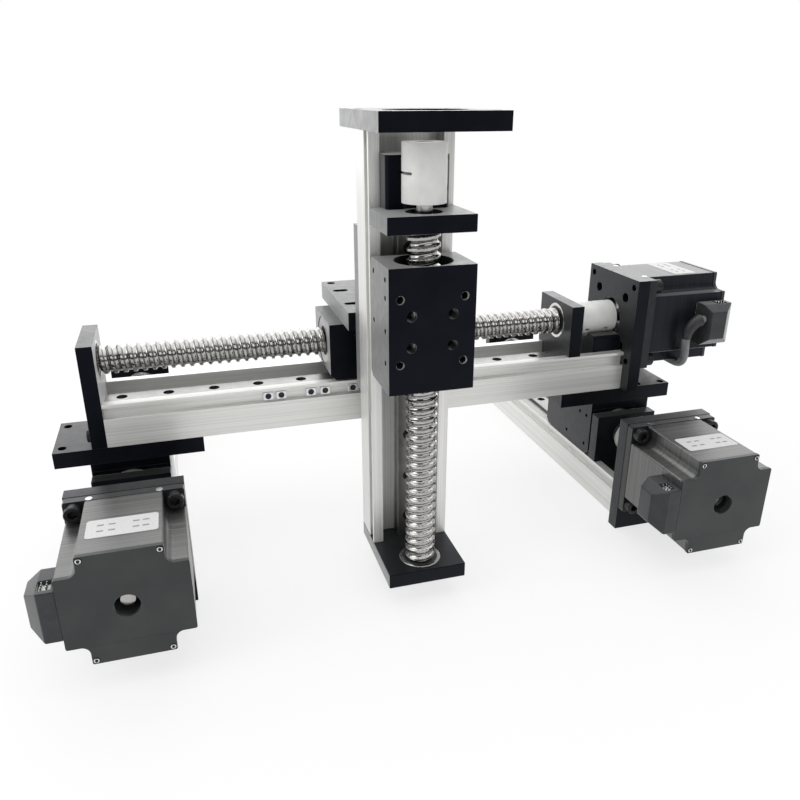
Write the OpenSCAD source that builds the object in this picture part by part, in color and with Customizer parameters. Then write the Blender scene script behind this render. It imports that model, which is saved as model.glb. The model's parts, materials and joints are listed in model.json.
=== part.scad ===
// Three-axis gantry made of four ball screw linear modules: two base modules along Y,
// a beam module along X that rides on both, and an upright module along Z on the beam.
// Every module is drawn along +X from its motor plate, with its open side up, and is then placed.

/* [Modules] */
// Length of the base and upright modules over their end faces
short_l = 234; // [210:1:320]
// Length of the beam module over its end faces
beam_l = 328; // [320:1:420]
// Space between motor plate and bearing plate, base and upright modules
short_gap = 35; // [33:1:45]
// Space between motor plate and bearing plate, beam module
beam_gap = 31; // [30:1:45]
// Bearing plate to carriage, base modules
base_start = 1.5; // [1:0.5:60]
// Bearing plate to carriage, beam module
beam_start = 90; // [60:1:110]
// Bearing plate to carriage, upright module
upright_start = 14; // [2:1:60]

/* [Profile] */
// Width of the U-shaped profile
profile_w = 42; // [40:0.5:46]
// Depth of the channel between the profile's walls
channel_deep = 12; // [10:0.5:12.5]
// Thickness of the side walls
wall_t = 5.5; // [5:0.1:6]
// Thickness of the floor
floor_t = 12.5; // [11:0.5:14]
// Opening of the side grooves
groove_w = 6.3; // [5:0.1:7]
// Depth of the side grooves
groove_depth = 3.2; // [2.5:0.1:3.5]
// Lip that narrows each side groove
groove_lip = 0.6; // [0.3:0.1:0.8]
// Top of each side groove below the wall top
groove_drop = 2; // [1.5:0.1:2.5]
// Spacing of the two slots in the underside
under_pitch = 20; // [16:1:24]
// Opening of the underside slots
under_w = 5.2; // [4:0.1:6]

/* [Plates] */
// Thickness of the motor, bearing and end plates
plate_t = 8; // [8:0.5:12]
// Width of the motor plate and of the motor
motor_plate_w = 57; // [57:0.5:60]
// Top of the bearing plate above the screw axis
bearing_plate_top = 13.5; // [13:0.5:14.5]
// Top of the end plate above the screw axis
end_plate_top = 14; // [13:0.5:14.5]
// Depth of the channel block between the profile walls
channel_block_top = 8.5; // [8:0.5:10]
// Length of the beam's channel block
beam_block_l = 19; // [15:1:24]
// Length of the upright's channel block
upright_block_l = 24; // [15:1:28]

/* [Rail and guide block] */
// Width of the rail
rail_w = 12; // [11:0.5:12]
// Height of the rail
rail_h = 8; // [7.5:0.5:8]
// Pitch of the rail's screw holes
rail_pitch = 25; // [20:1:30]
// First hole of the short rails from their motor end
short_rail_end = 12.5; // [8:0.5:14]
// First hole of the beam's rail from its motor end
beam_rail_end = 14; // [8:0.5:16]
// Width of the guide block
block_w = 27; // [25:0.5:27]
// Length of the guide block
block_l = 34.7; // [30:0.1:40]
// Length of each plastic end cap on the guide block
cap_l = 4; // [3:0.5:5]
// Top of the guide block above the floor that the rail lies on
block_h = 13; // [12.5:0.5:14]
// Space under the guide block
block_rise = 3; // [2:0.5:3.5]

/* [Carriage] */
// Length of the carriage
carriage_l = 60; // [56:1:66]
// Top of the carriage above the screw axis
carriage_top = 15; // [14.5:0.5:17]
// Metal of the carriage under the ball nut
nut_floor = 3.5; // [3:0.5:6]
// Outer square of tapped holes
outer_pitch = 31; // [30:0.5:33]
// Tapped hole of the outer square, core diameter
tap_d = 4.2; // [3.3:0.1:4.5]
// Guide block screws across the carriage
inner_pitch_w = 20; // [18:0.5:21]
// Guide block screws along the carriage
inner_pitch_l = 15; // [14:0.5:16]
// Access hole over each guide block screw
access_d = 5; // [4:0.1:5.5]
// Chamfer at the carriage's lower ends
carriage_chamfer = 3; // [1:0.5:5]

/* [Screw and nut] */
// Outside diameter of the ball screw
screw_d = 16; // [14:0.5:16]
// Lead of the ball screw
lead = 5; // [4:1:10]
// Depth of the ball groove
groove_r = 1.5; // [1:0.1:1.8]
// Diameter of the turned ends
journal_d = 8; // [8:0.5:8]
// Outside diameter of the ball nut
nut_d = 28; // [26:0.5:28]
// Length of the ball nut
nut_l = 44; // [40:1:50]

/* [Bearing] */
// Outside diameter of the bearings
bearing_d = 22; // [22:0.5:24]
// Width of the bearings
bearing_w = 7; // [6:0.5:7]
// Thickness of the bearing rings at their lands
ring_t = 2; // [1.5:0.1:2.5]

/* [Coupling] */
// Outside diameter of the shaft coupling
coupling_d = 20.5; // [18:0.5:22]
// Length of the shaft coupling
coupling_l = 26; // [22:1:28]
// Width of the coupling's saw cut
slit_w = 1.2; // [0.8:0.1:2]
// Set screw holes in the coupling
set_screw_d = 3.3; // [2.5:0.1:4]

/* [Motor] */
// Width across the motor body
motor_w = 56.6; // [55:0.1:57]
// Length of the motor behind its flange face
motor_l = 55; // [45:1:80]
// Thickness of the front flange
flange_t = 5; // [4:0.5:8]
// Thickness of the rear cover
rear_t = 2; // [1.5:0.5:4]
// Size of the notches along the motor's corners
notch = 9.9; // [8:0.1:11]
// Square of the motor's screw holes
motor_pitch = 47.14; // [47:0.01:47.2]
// Diameter of the motor's pilot ring
pilot_d = 38.1; // [38:0.1:38.2]
// Height of the motor's pilot ring
pilot_h = 1.6; // [1:0.1:2]
// Square of the smaller motor's screw holes in the motor plate
small_pitch = 31; // [30:0.5:31]
// Hole in the middle of the rear cover
rear_hole_d = 11.5; // [10:0.5:14]

/* [Terminal box] */
// Length of the terminal box along the motor
box_l = 20; // [18:1:28]
// Reach of the terminal box from the motor's side
box_out = 13.5; // [11:0.5:15]
// Reach of the terminal box's straight walls, before its bevels
box_wall_out = 7.5; // [5:0.5:9]
// Height of the terminal box
box_h = 26; // [22:1:30]

/* [Joining parts] */
// Beam axis behind the near end of the base carriages
beam_setback = 11.5; // [10:0.5:30]
// Beam's far end beyond the axis of the left base module
beam_overhang = 17.5; // [10:0.5:30]
// Thickness of the riser plates
riser_t = 9; // [8:0.5:14]
// Thickness of the mount plates
mount_t = 9; // [8:0.5:14]
// Length of the mount plates
mount_l = 78; // [70:1:90]
// Mount plate beyond the beam's far end
left_reach = 20; // [12:1:26]
// Mount plate beyond the axis of the right base module
right_reach = 28.5; // [22:0.5:34]
// Thickness of the bracket's flat plate
bracket_t = 10; // [8:0.5:12]
// Width of the bracket's flat plate
bracket_w = 50; // [46:1:60]
// Length of the bracket's flat plate
bracket_l = 83; // [76:1:90]
// Thickness of the bracket's upright plate
leg_t = 8; // [6:0.5:12]
// Bracket's upright plate to the beam carriage
leg_gap = 13.5; // [4:0.5:20]
// Upright plate of the bracket above its flat plate
leg_up = 47; // [30:1:60]
// Upright plate of the bracket below the top of its flat plate
leg_down = 41; // [20:1:50]
// Motor end of the upright module above the bracket's flat plate
upright_rise = 102; // [90:1:130]
// Upright axis off the middle of the beam carriage, toward the beam's motor
upright_shift = 3; // [0:0.5:6]

/* [Motor lead] */
// Diameter of the motor lead
lead_d = 5; // [5:0.5:5]

/* [Hidden] */
$fn = 48;
// A cut runs past a face by this much
past = 1;
// Gap between a part and what it is slid into
slip = 0.05;
// Gap between parts that move past each other
clear = 0.3;
motor_half = motor_w / 2;
coupling_set = 4;
channel_w = profile_w - 2 * wall_t;
mount_d = profile_w;

// Heights in a module, measured from the screw axis. The axis clears the rail, block and nut.
axis_h = floor_t + block_h + nut_floor + nut_d / 2;
floor_z = -axis_h + floor_t;
wall_drop = axis_h - floor_t - channel_deep;
rail_top = floor_z + rail_h;
carriage_bottom = floor_z + block_h;
block_bottom = floor_z + block_rise;
short_bearing_x = plate_t + short_gap;
beam_bearing_x = plate_t + beam_gap;
short_open_x = short_bearing_x + plate_t;
beam_open_x = beam_bearing_x + plate_t;
base_x = short_open_x + base_start;
beam_x = beam_open_x + beam_start;
upright_x = short_open_x + upright_start;

// Places of the four modules. The origin is under the middle of the whole machine.
base_spacing = beam_l - beam_overhang;
left_x = (motor_half + box_out - motor_l - base_spacing) / 2;
right_x = left_x + base_spacing;
face_y = (motor_l - short_l) / 2;
beam_y = face_y + base_x + beam_setback;
mount_z = axis_h + carriage_top + riser_t;
beam_z = mount_z + mount_t + axis_h;
bracket_z = beam_z + carriage_top;
middle_x = right_x - beam_x - carriage_l / 2;
upright_axis_x = middle_x + upright_shift;
upright_axis_y = beam_y - profile_w / 2 - leg_gap - leg_t - axis_h;
upright_z = bracket_z + bracket_t + upright_rise;
left_plate_x = right_x - beam_l - left_reach;
right_plate_x = right_x + right_reach - mount_l;

// Holes in the mount plates: [from the plate's left end, across]
left_holes = [[4.5, 30]];
right_holes = [[mount_l - 4, 34], [mount_l - 21, 34]];

// Places along the modules
short_coupling_x = short_bearing_x - coupling_set - coupling_l;
beam_coupling_x = beam_bearing_x - coupling_set - coupling_l;
beam_turn = -141;
upright_turn = -88;
upright_block_x = short_bearing_x - upright_block_l;

// The lead's route from the terminal box to its coil, and the coil
coil_centre = [217, -10];
coil_r = 26;
coil_h = 10.2;
// Air around the lead in its coil
lead_ease = 0.1;
route = [
    [185, -61.5, 122.8], [181.3, -61.5, 122.2], [178, -61.4, 120.3], [175.6, -61.2, 117.4],
    [174.4, -61, 113.9], [174.2, -60.8, 110], [174.9, -60.2, 105.8], [176.2, -59, 101.3],
    [177.9, -56.7, 96.8], [179.9, -53, 92.7], [181.6, -47.6, 89.7], [182.9, -41.5, 88.4],
    [183.6, -34, 88.1], [184, -26, 88], [184, -15, 87.5], [184, -5, 85.3], [184, 3, 80.4],
    [184, 9, 72], [184, 12, 61], [184, 13, 48], [184, 13, 36], [184, 13, 27],
    [184.1, 13, 21], [185.5, 13.2, 15.5], [188.7, 13.7, 11.2], [193.2, 14.6, 8.5],
    [198.5, 15.5, 7.7], [206, 16, 7.7]
];

// Placing

module on_left() translate([left_x, face_y, axis_h]) rotate([0, 0, 90]) children();
module on_right() translate([right_x, face_y, axis_h]) rotate([0, 0, 90]) children();
module on_beam() translate([right_x, beam_y, beam_z]) rotate([0, 0, 180]) children();
module on_upright() translate([upright_axis_x, upright_axis_y, upright_z]) rotate([0, 90, -90]) children();

// Moves a part along its module
module at(x) translate([x, 0, 0]) children();

// Moves a part to the middle of a carriage that starts at x
module at_carriage(x) translate([x + carriage_l / 2, 0, 0]) children();

// Draws a Y-Z outline and extrudes it along X
module along_x(l) rotate([90, 0, 90]) linear_extrude(l) children();

// A round bar or cut along X
module bar_x(x, l, d) translate([x, 0, 0]) rotate([0, 90, 0]) cylinder(h = l, d = d);

// Four copies on a rectangle in X and Y
module four(x, y) for (sx = [-1, 1], sy = [-1, 1]) translate([sx * x / 2, sy * y / 2, 0]) children();

// Four copies on a square in Y and Z
module four_yz(p) for (sy = [-1, 1], sz = [-1, 1]) translate([0, sy * p / 2, sz * p / 2]) children();

// Module parts, in the module's own frame

module side_groove() {
    top = -wall_drop - groove_drop;
    translate([profile_w / 2 - groove_lip, top - groove_w]) square([groove_lip + past, groove_w]);
    translate([profile_w / 2 - groove_depth, top - groove_w - groove_lip])
        square([groove_depth - groove_lip, groove_w + 2 * groove_lip]);
}

module under_slot() {
    slot_lip = 1.5;
    slot_wide = under_w + 3;
    slot_deep = 4;
    translate([-under_w / 2, -axis_h - past]) square([under_w, slot_lip + past + 0.01]);
    translate([-slot_wide / 2, -axis_h + slot_lip]) square([slot_wide, slot_deep - slot_lip]);
}

module profile_outline() {
    difference() {
        translate([-profile_w / 2, -axis_h]) square([profile_w, axis_h - wall_drop]);
        translate([-channel_w / 2, floor_z]) square([channel_w, axis_h]);
        side_groove();
        mirror([1, 0]) side_groove();
        for (s = [-1, 1]) translate([s * under_pitch / 2, 0]) under_slot();
    }
}

module profile(l) color("silver") translate([plate_t, 0, 0]) along_x(l - 2 * plate_t) profile_outline();

module rail_outline() {
    waist = 1.2;
    waist_low = 2.4;
    waist_high = 5.2;
    edge = 0.5;
    side = [
        [rail_w / 2, 0], [rail_w / 2, waist_low], [rail_w / 2 - waist, waist_low + waist],
        [rail_w / 2 - waist, waist_high], [rail_w / 2, waist_high + waist], [rail_w / 2, rail_h - edge],
        [rail_w / 2 - edge, rail_h]
    ];
    last = len(side) - 1;
    other_side = [for (i = [0 : last]) [-side[last - i][0], side[last - i][1]]];
    translate([0, floor_z]) polygon(concat(side, other_side));
}

module rail(l, open_x, first) {
    rail_l = l - plate_t - open_x;
    head_d = 6;
    head_h = 4.5;
    shank_d = 3.5;
    color("gainsboro") difference() {
        translate([open_x, 0, 0]) along_x(rail_l) rail_outline();
        for (x = [first : rail_pitch : rail_l - head_d]) translate([open_x + x, 0, rail_top]) {
            translate([0, 0, -rail_h - past]) cylinder(h = rail_h + 2 * past, d = shank_d);
            translate([0, 0, -head_h]) cylinder(h = head_h + past, d = head_d);
        }
    }
}

// Outline of the guide block's saddle over the rail, grown smaller by its end caps
module saddle_outline(shrink) {
    difference() {
        translate([-block_w / 2 + shrink, block_bottom + shrink])
            square([block_w - 2 * shrink, carriage_bottom - block_bottom - 2 * shrink]);
        translate([-rail_w / 2 - clear, floor_z]) square([rail_w + 2 * clear, rail_h + clear]);
    }
}

module guide_block() {
    body_l = block_l - 2 * cap_l;
    tap = 2.5;
    tap_depth = 3.5;
    cap_in = 0.4;
    color("gainsboro") difference() {
        translate([-body_l / 2, 0, 0]) along_x(body_l) saddle_outline(0);
        four(inner_pitch_l, inner_pitch_w) translate([0, 0, carriage_bottom - tap_depth])
            cylinder(h = tap_depth + past, d = tap);
    }
    color("darkgreen") for (s = [-1, 1]) translate([s * (body_l + cap_l) / 2 - cap_l / 2, 0, 0])
        along_x(cap_l) saddle_outline(cap_in);
}

module carriage() {
    half = carriage_l / 2;
    tap_depth = 9;
    screw_seat = 3.3;
    screw_hole = 3.4;
    color([0.08, 0.08, 0.1]) difference() {
        translate([0, profile_w / 2, 0]) rotate([90, 0, 0]) linear_extrude(profile_w) polygon([
            [-half, carriage_top], [half, carriage_top], [half, carriage_bottom + carriage_chamfer],
            [half - carriage_chamfer, carriage_bottom], [-half + carriage_chamfer, carriage_bottom],
            [-half, carriage_bottom + carriage_chamfer]
        ]);
        bar_x(-half - past, carriage_l + 2 * past, nut_d + 2 * slip);
        four(outer_pitch, outer_pitch) translate([0, 0, carriage_top - tap_depth])
            cylinder(h = tap_depth + past, d = tap_d);
        four(inner_pitch_l, inner_pitch_w) {
            translate([0, 0, carriage_bottom + screw_seat])
                cylinder(h = carriage_top - carriage_bottom, d = access_d);
            translate([0, 0, carriage_bottom - past]) cylinder(h = 2 * past + screw_seat, d = screw_hole);
        }
        side_taps();
    }
}

// Tapped holes in both sides of the carriage, for covers and sensors: [along, up] from its middle
module side_taps() {
    side_depth = 5;
    side_d = 2.5;
    edge = 6;
    low = carriage_bottom + edge;
    high = carriage_top - edge;
    end = carriage_l / 2 - edge;
    wide = outer_pitch / 2;
    places = [[-end, low], [-end, high], [-wide, high], [0, low], [0, high], [wide, high]];
    for (s = [-1, 1], p = places)
        translate([p[0], s * (profile_w / 2 - side_depth / 2 + past / 2), p[1]])
            rotate([90, 0, 0]) cylinder(h = side_depth + past, d = side_d, center = true);
}

module ball_nut() {
    wiper_l = 3;
    wiper_d = nut_d - 3;
    color("dimgray") difference() {
        bar_x(-nut_l / 2, nut_l, nut_d);
        bar_x(-nut_l / 2 - past, nut_l + 2 * past, screw_d + 2 * slip);
    }
    color("whitesmoke") for (s = [-1, 1]) difference() {
        bar_x(s * (nut_l + wiper_l) / 2 - wiper_l / 2, wiper_l, wiper_d);
        bar_x(s * (nut_l + wiper_l) / 2 - wiper_l, 2 * wiper_l, screw_d + 2 * clear);
    }
}

// Half outline of the threaded part, revolved about the screw axis: one dip each lead
module screw(l, bearing_x, coupling_x) {
    thread_x = bearing_x + plate_t + clear;
    thread_end = l - plate_t - clear;
    turns = floor((thread_end - thread_x - lead) / lead);
    near_x = coupling_x + coupling_l / 2;
    journal_in = 1;
    far_x = l - journal_in;
    chamfer = 1;
    land = lead * 0.3;
    r = screw_d / 2;
    dips = [for (i = [0 : turns]) let (x = thread_x + land + i * lead) [
        [r, x], [r - groove_r * 0.8, x + groove_r * 0.45], [r - groove_r, x + groove_r * 1.1],
        [r - groove_r * 0.8, x + groove_r * 1.75], [r, x + groove_r * 2.2]
    ]];
    color("gainsboro") rotate([0, 90, 0]) rotate_extrude() polygon(concat(
        [[0, near_x], [journal_d / 2, near_x], [journal_d / 2, thread_x - clear / 2],
         [r - chamfer, thread_x - clear / 2], [r, thread_x + chamfer - clear / 2]],
        [for (d = dips) for (p = d) p],
        [[r, thread_end - chamfer], [r - chamfer, thread_end], [journal_d / 2, thread_end],
         [journal_d / 2, far_x], [0, far_x]]
    ));
}

// Seat for a bearing, open toward the threaded part, with a clearance hole behind it
module bearing_seat(x, side) {
    back_d = bearing_d - 5;
    bar_x(side > 0 ? x + plate_t - bearing_w : x - past, bearing_w + past, bearing_d + 2 * slip);
    bar_x(x - past, plate_t + 2 * past, back_d);
}

module bearing_plate() {
    color([0.07, 0.07, 0.1]) difference() {
        union() {
            along_x(plate_t) translate([-profile_w / 2, -wall_drop])
                square([profile_w, wall_drop + bearing_plate_top]);
            along_x(plate_t) translate([-channel_w / 2 + slip, floor_z])
                square([channel_w - 2 * slip, -wall_drop - floor_z + 0.01]);
        }
        bearing_seat(0, 1);
    }
}

module end_plate() {
    color([0.07, 0.07, 0.1]) difference() {
        along_x(plate_t) translate([-profile_w / 2, -axis_h]) square([profile_w, axis_h + end_plate_top]);
        bearing_seat(0, -1);
    }
}

module motor_plate() {
    coupling_hole_d = coupling_d + 3.5;
    recess = pilot_h + 0.9;
    small_head_d = 6.2;
    small_head_h = 3.5;
    color([0.07, 0.07, 0.1]) difference() {
        along_x(plate_t) translate([-motor_plate_w / 2, -axis_h])
            square([motor_plate_w, axis_h + motor_plate_w / 2]);
        bar_x(-past, recess + past, pilot_d + 2 * slip);
        bar_x(-past, plate_t + 2 * past, coupling_hole_d);
        four_yz(motor_pitch) bar_x(-past, plate_t + 2 * past, tap_d);
        four_yz(small_pitch) {
            bar_x(-past, plate_t + 2 * past, small_head_d - 2.8);
            bar_x(plate_t - small_head_h, small_head_h + past, small_head_d);
        }
    }
}

// One bearing: an outer ring with its shields, and an inner ring
module bearing(x) {
    half = bearing_w / 2;
    outer = bearing_d / 2;
    inner = journal_d / 2 + slip;
    shield_r = inner + ring_t + clear;
    shield_t = 0.8;
    shield_in = 0.3;
    color("gainsboro") translate([x + half, 0, 0]) rotate([0, 90, 0]) {
        rotate_extrude() polygon([
            [outer, -half], [outer, half], [shield_r, half - shield_in], [shield_r, half - shield_t],
            [outer - ring_t, half - shield_t], [outer - ring_t, shield_t - half],
            [shield_r, shield_t - half], [shield_r, shield_in - half]
        ]);
        rotate_extrude() translate([inner, -half]) square([ring_t, bearing_w]);
    }
}

module bearings(l, bearing_x) {
    bearing(bearing_x + plate_t - bearing_w);
    bearing(l - plate_t);
}

// The turn says how the coupling happened to stop
module coupling(x, turn = 0) {
    set_in = coupling_l / 4;
    set_angles = [16, -74];
    slit_angle = 35;
    slit_floor = -coupling_d * 0.12;
    color("whitesmoke") translate([x, 0, 0]) rotate([turn, 0, 0]) difference() {
        bar_x(0, coupling_l, coupling_d);
        bar_x(-past, coupling_l + 2 * past, journal_d + 2 * slip);
        translate([(coupling_l - slit_w) / 2, 0, 0]) rotate([slit_angle, 0, 0])
            translate([0, -coupling_d, -coupling_d]) cube([slit_w, 2 * coupling_d, coupling_d + slit_floor]);
        for (sx = [set_in, coupling_l - set_in], a = set_angles) translate([sx, 0, 0]) rotate([a, 0, 0])
            cylinder(h = coupling_d, d = set_screw_d);
    }
}

module channel_block(x, l) {
    lip = 1.5;
    top = -channel_block_top;
    half = channel_w / 2 - slip;
    bore_d = coupling_d + 2;
    color([0.07, 0.07, 0.1]) translate([x, 0, 0]) difference() {
        along_x(l) polygon([
            [-half, floor_z], [half, floor_z], [half, -wall_drop], [half, top - lip], [half - lip, top],
            [-half + lip, top], [-half, top - lip], [-half, -wall_drop]
        ]);
        bar_x(-past, l + 2 * past, bore_d);
    }
}

// Motor parts, behind the motor plate

module motor_outline(w, n) {
    inner_r = 4;
    corner = w / 2 - n;
    difference() {
        square(w, center = true);
        for (sx = [0, 1], sy = [0, 1]) mirror([sx, 0]) mirror([0, sy]) translate([corner, corner]) {
            translate([inner_r, 0]) square([n, n + past]);
            translate([0, inner_r]) square([n + past, n]);
            translate([inner_r, inner_r]) circle(inner_r);
        }
    }
}

module motor() {
    shaft_hole = journal_d + 2 * clear;
    body_l = motor_l - flange_t - rear_t;
    body_w = motor_w - 0.4;
    hole_d = 5.2;
    color([0.16, 0.17, 0.18]) difference() {
        union() {
            bar_x(0, pilot_h, pilot_d);
            translate([-flange_t, 0, 0]) along_x(flange_t) difference() {
                square(motor_w, center = true);
                for (sx = [-1, 1], sy = [-1, 1]) translate([sx, sy] * motor_pitch / 2) circle(d = hole_d);
            }
            translate([-flange_t - body_l, 0, 0]) along_x(body_l) motor_outline(body_w, notch);
        }
        bar_x(-motor_l, motor_l + 2 * pilot_h, shaft_hole);
    }
    color([0.12, 0.13, 0.14]) difference() {
        translate([-motor_l, 0, 0]) along_x(rear_t) motor_outline(motor_w, notch);
        bar_x(-motor_l - past, rear_t + 2 * past, rear_hole_d);
    }
}

module motor_shaft(coupling_x) {
    tip = coupling_x + coupling_l / 3;
    tail_d = journal_d - 1;
    tail_l = 8;
    tail_in = 5;
    tail_x = -motor_l + tail_in;
    color("gainsboro") {
        bar_x(tail_x + tail_l, tip - tail_x - tail_l, journal_d);
        bar_x(tail_x, tail_l + slip, tail_d);
    }
}

// Bevelled box over the motor's terminals, open on top for a plug
module terminal_box() {
    rear_bevel = 7;
    front_bevel = 2.5;
    top_bevel = 4;
    bottom_bevel = 5;
    socket_wall = 1.8;
    socket_in = 3;
    socket_l = 7;
    socket_deep = 3.5;
    rear = -motor_l;
    front = -motor_l + box_l;
    half = box_h / 2;
    color([0.14, 0.15, 0.16]) translate([0, motor_half, 0]) difference() {
        intersection() {
            translate([0, 0, -half]) linear_extrude(box_h) polygon([
                [rear, 0], [rear, box_wall_out], [rear + rear_bevel, box_out],
                [front - front_bevel, box_out], [front, box_wall_out], [front, 0]
            ]);
            translate([rear, 0, 0]) along_x(box_l) polygon([
                [0, -half], [box_wall_out, -half], [box_out, -half + bottom_bevel],
                [box_out, half - top_bevel], [box_wall_out, half], [0, half]
            ]);
        }
        translate([rear + socket_in, socket_wall, half - socket_deep])
            cube([socket_l, box_wall_out - socket_wall, socket_deep + past]);
    }
}

// Joining parts, in the machine's frame

module carriage_riser(x) {
    head_d = 9.5;
    head_h = 5.5;
    shank_d = 5.5;
    top = mount_z;
    color([0.07, 0.07, 0.1]) translate([x, face_y + base_x + carriage_l / 2, top - riser_t]) difference() {
        translate([-profile_w / 2, -carriage_l / 2, 0]) cube([profile_w, carriage_l, riser_t]);
        four(outer_pitch, outer_pitch) {
            translate([0, 0, -past]) cylinder(h = riser_t + 2 * past, d = shank_d);
            translate([0, 0, riser_t - head_h]) cylinder(h = head_h + past, d = head_d);
        }
    }
}

module mount_plate(x0, holes) {
    hole_d = 4.5;
    color([0.07, 0.07, 0.1]) translate([x0, beam_y - mount_d / 2, mount_z]) difference() {
        cube([mount_l, mount_d, mount_t]);
        for (h = holes) for (s = [-1, 1]) translate([h[0], mount_d / 2 + s * h[1] / 2, -past])
            cylinder(h = mount_t + 2 * past, d = hole_d);
    }
}

// A slot through a plate, along X
module slot(l, w, depth) {
    for (s = [-1, 1]) translate([s * (l - w) / 2, 0, 0]) cylinder(h = depth, d = w);
    translate([-(l - w) / 2, -w / 2, 0]) cube([l - w, w, depth]);
}

module upright_bracket() {
    front_y = upright_axis_y + axis_h;
    slot_l = 9;
    hole_d = 5;
    rear_half_pitch = 20;
    rear_in = 5;
    color([0.07, 0.07, 0.1]) {
        translate([0, 0, bracket_z]) difference() {
            translate([upright_axis_x - bracket_w / 2, front_y + leg_t, 0])
                cube([bracket_w, bracket_l - leg_t, bracket_t]);
            translate([middle_x, beam_y, -past]) four(outer_pitch, outer_pitch)
                slot(slot_l, hole_d, bracket_t + 2 * past);
            for (s = [-1, 1])
                translate([upright_axis_x + s * rear_half_pitch, front_y + bracket_l - rear_in, -past])
                    cylinder(h = bracket_t + 2 * past, d = hole_d);
        }
        translate([upright_axis_x, front_y, bracket_z + bracket_t]) bracket_leg();
    }
}

// The bracket's upright plate, screwed to the slots in the upright profile's back
module bracket_leg() {
    hole_d = 5;
    head_d = 9.5;
    low_in = 8;
    high_in = 10;
    difference() {
        translate([-profile_w / 2, 0, -leg_down]) cube([profile_w, leg_t, leg_down + leg_up]);
        for (s = [-1, 1], z = [low_in - leg_down, leg_up - high_in])
            translate([s * under_pitch / 2, leg_t + past, z]) rotate([90, 0, 0]) {
                cylinder(h = leg_t + 2 * past, d = hole_d);
                cylinder(h = leg_t / 2 + past, d = head_d);
            }
    }
}

// Motor lead: a tube swept along its route

function unit(v) = v / norm(v);
function heading(i) = unit(route[min(i + 1, len(route) - 1)] - route[max(i - 1, 0)]);
function lead_ring(i, sides) =
    let (d = heading(i), a = unit(cross(d, [1, 1, 1])) * lead_d / 2, b = cross(d, a))
    [for (k = [0 : sides - 1]) route[i] + cos(360 * k / sides) * a + sin(360 * k / sides) * b];

module motor_lead() {
    sides = 8;
    rings = len(route);
    points = [for (i = [0 : rings - 1]) each lead_ring(i, sides)];
    walls = [for (i = [0 : rings - 2], k = [0 : sides - 1]) let (n = (k + 1) % sides, at = i * sides)
        each [[at + k, at + n, at + sides + n], [at + k, at + sides + n, at + sides + k]]];
    near_cap = [for (k = [0 : sides - 1]) sides - 1 - k];
    far_cap = [for (k = [0 : sides - 1]) (rings - 1) * sides + k];
    color("gray") polyhedron(points, concat(walls, [near_cap, far_cap]), 10);
}

module lead_coil() {
    half = lead_d / 2 + lead_ease;
    color("gray") translate([coil_centre[0], coil_centre[1], 0]) rotate_extrude()
        translate([coil_r - half, 0]) square([2 * half, coil_h]);
}

module lead_plug() {
    plug_l = 14;
    plug_w = 9;
    plug_h = 7;
    boot_l = 6;
    reach = 18.7;
    color([0.1, 0.1, 0.1]) translate([coil_centre[0] - reach, coil_centre[1] - coil_r, 0]) {
        translate([-plug_l, -plug_w / 2, 0]) cube([plug_l, plug_w, plug_h]);
        translate([0, 0, lead_d / 2 + lead_ease]) bar_x(0, boot_l, lead_d);
    }
}

// What is drawn

on_left() profile(short_l);  // left_profile
on_left() rail(short_l, short_open_x, short_rail_end);  // left_rail
on_left() at_carriage(base_x) guide_block();  // left_guide_block
on_left() at_carriage(base_x) carriage();  // left_carriage
on_left() at_carriage(base_x) ball_nut();  // left_ball_nut
on_left() screw(short_l, short_bearing_x, short_coupling_x);  // left_screw
on_left() at(short_bearing_x) bearing_plate();  // left_bearing_plate
on_left() at(short_l - plate_t) end_plate();  // left_end_plate
on_left() motor_plate();  // left_motor_plate
on_left() coupling(short_coupling_x);  // left_coupling
on_right() profile(short_l);  // right_profile
on_right() rail(short_l, short_open_x, short_rail_end);  // right_rail
on_right() at_carriage(base_x) guide_block();  // right_guide_block
on_right() at_carriage(base_x) carriage();  // right_carriage
on_right() at_carriage(base_x) ball_nut();  // right_ball_nut
on_right() screw(short_l, short_bearing_x, short_coupling_x);  // right_screw
on_right() at(short_bearing_x) bearing_plate();  // right_bearing_plate
on_right() at(short_l - plate_t) end_plate();  // right_end_plate
on_right() motor_plate();  // right_motor_plate
on_right() coupling(short_coupling_x);  // right_coupling
on_beam() profile(beam_l);  // beam_profile
on_beam() rail(beam_l, beam_open_x, beam_rail_end);  // beam_rail
on_beam() at_carriage(beam_x) guide_block();  // beam_guide_block
on_beam() at_carriage(beam_x) carriage();  // beam_carriage
on_beam() at_carriage(beam_x) ball_nut();  // beam_ball_nut
on_beam() screw(beam_l, beam_bearing_x, beam_coupling_x);  // beam_screw
on_beam() at(beam_bearing_x) bearing_plate();  // beam_bearing_plate
on_beam() at(beam_l - plate_t) end_plate();  // beam_end_plate
on_beam() motor_plate();  // beam_motor_plate
on_beam() coupling(beam_coupling_x, beam_turn);  // beam_coupling
on_upright() profile(short_l);  // upright_profile
on_upright() rail(short_l, short_open_x, short_rail_end);  // upright_rail
on_upright() at_carriage(upright_x) guide_block();  // upright_guide_block
on_upright() at_carriage(upright_x) carriage();  // upright_carriage
on_upright() at_carriage(upright_x) ball_nut();  // upright_ball_nut
on_upright() screw(short_l, short_bearing_x, short_coupling_x);  // upright_screw
on_upright() at(short_bearing_x) bearing_plate();  // upright_bearing_plate
on_upright() at(short_l - plate_t) end_plate();  // upright_end_plate
on_upright() motor_plate();  // upright_motor_plate
on_upright() coupling(short_coupling_x, upright_turn);  // upright_coupling
union() {  // base_bearings
    on_left() bearings(short_l, short_bearing_x);
    on_right() bearings(short_l, short_bearing_x);
}
on_beam() bearings(beam_l, beam_bearing_x);  // beam_bearings
on_upright() bearings(short_l, short_bearing_x);  // upright_bearings
on_beam() channel_block(plate_t, beam_block_l);  // beam_channel_block
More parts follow.
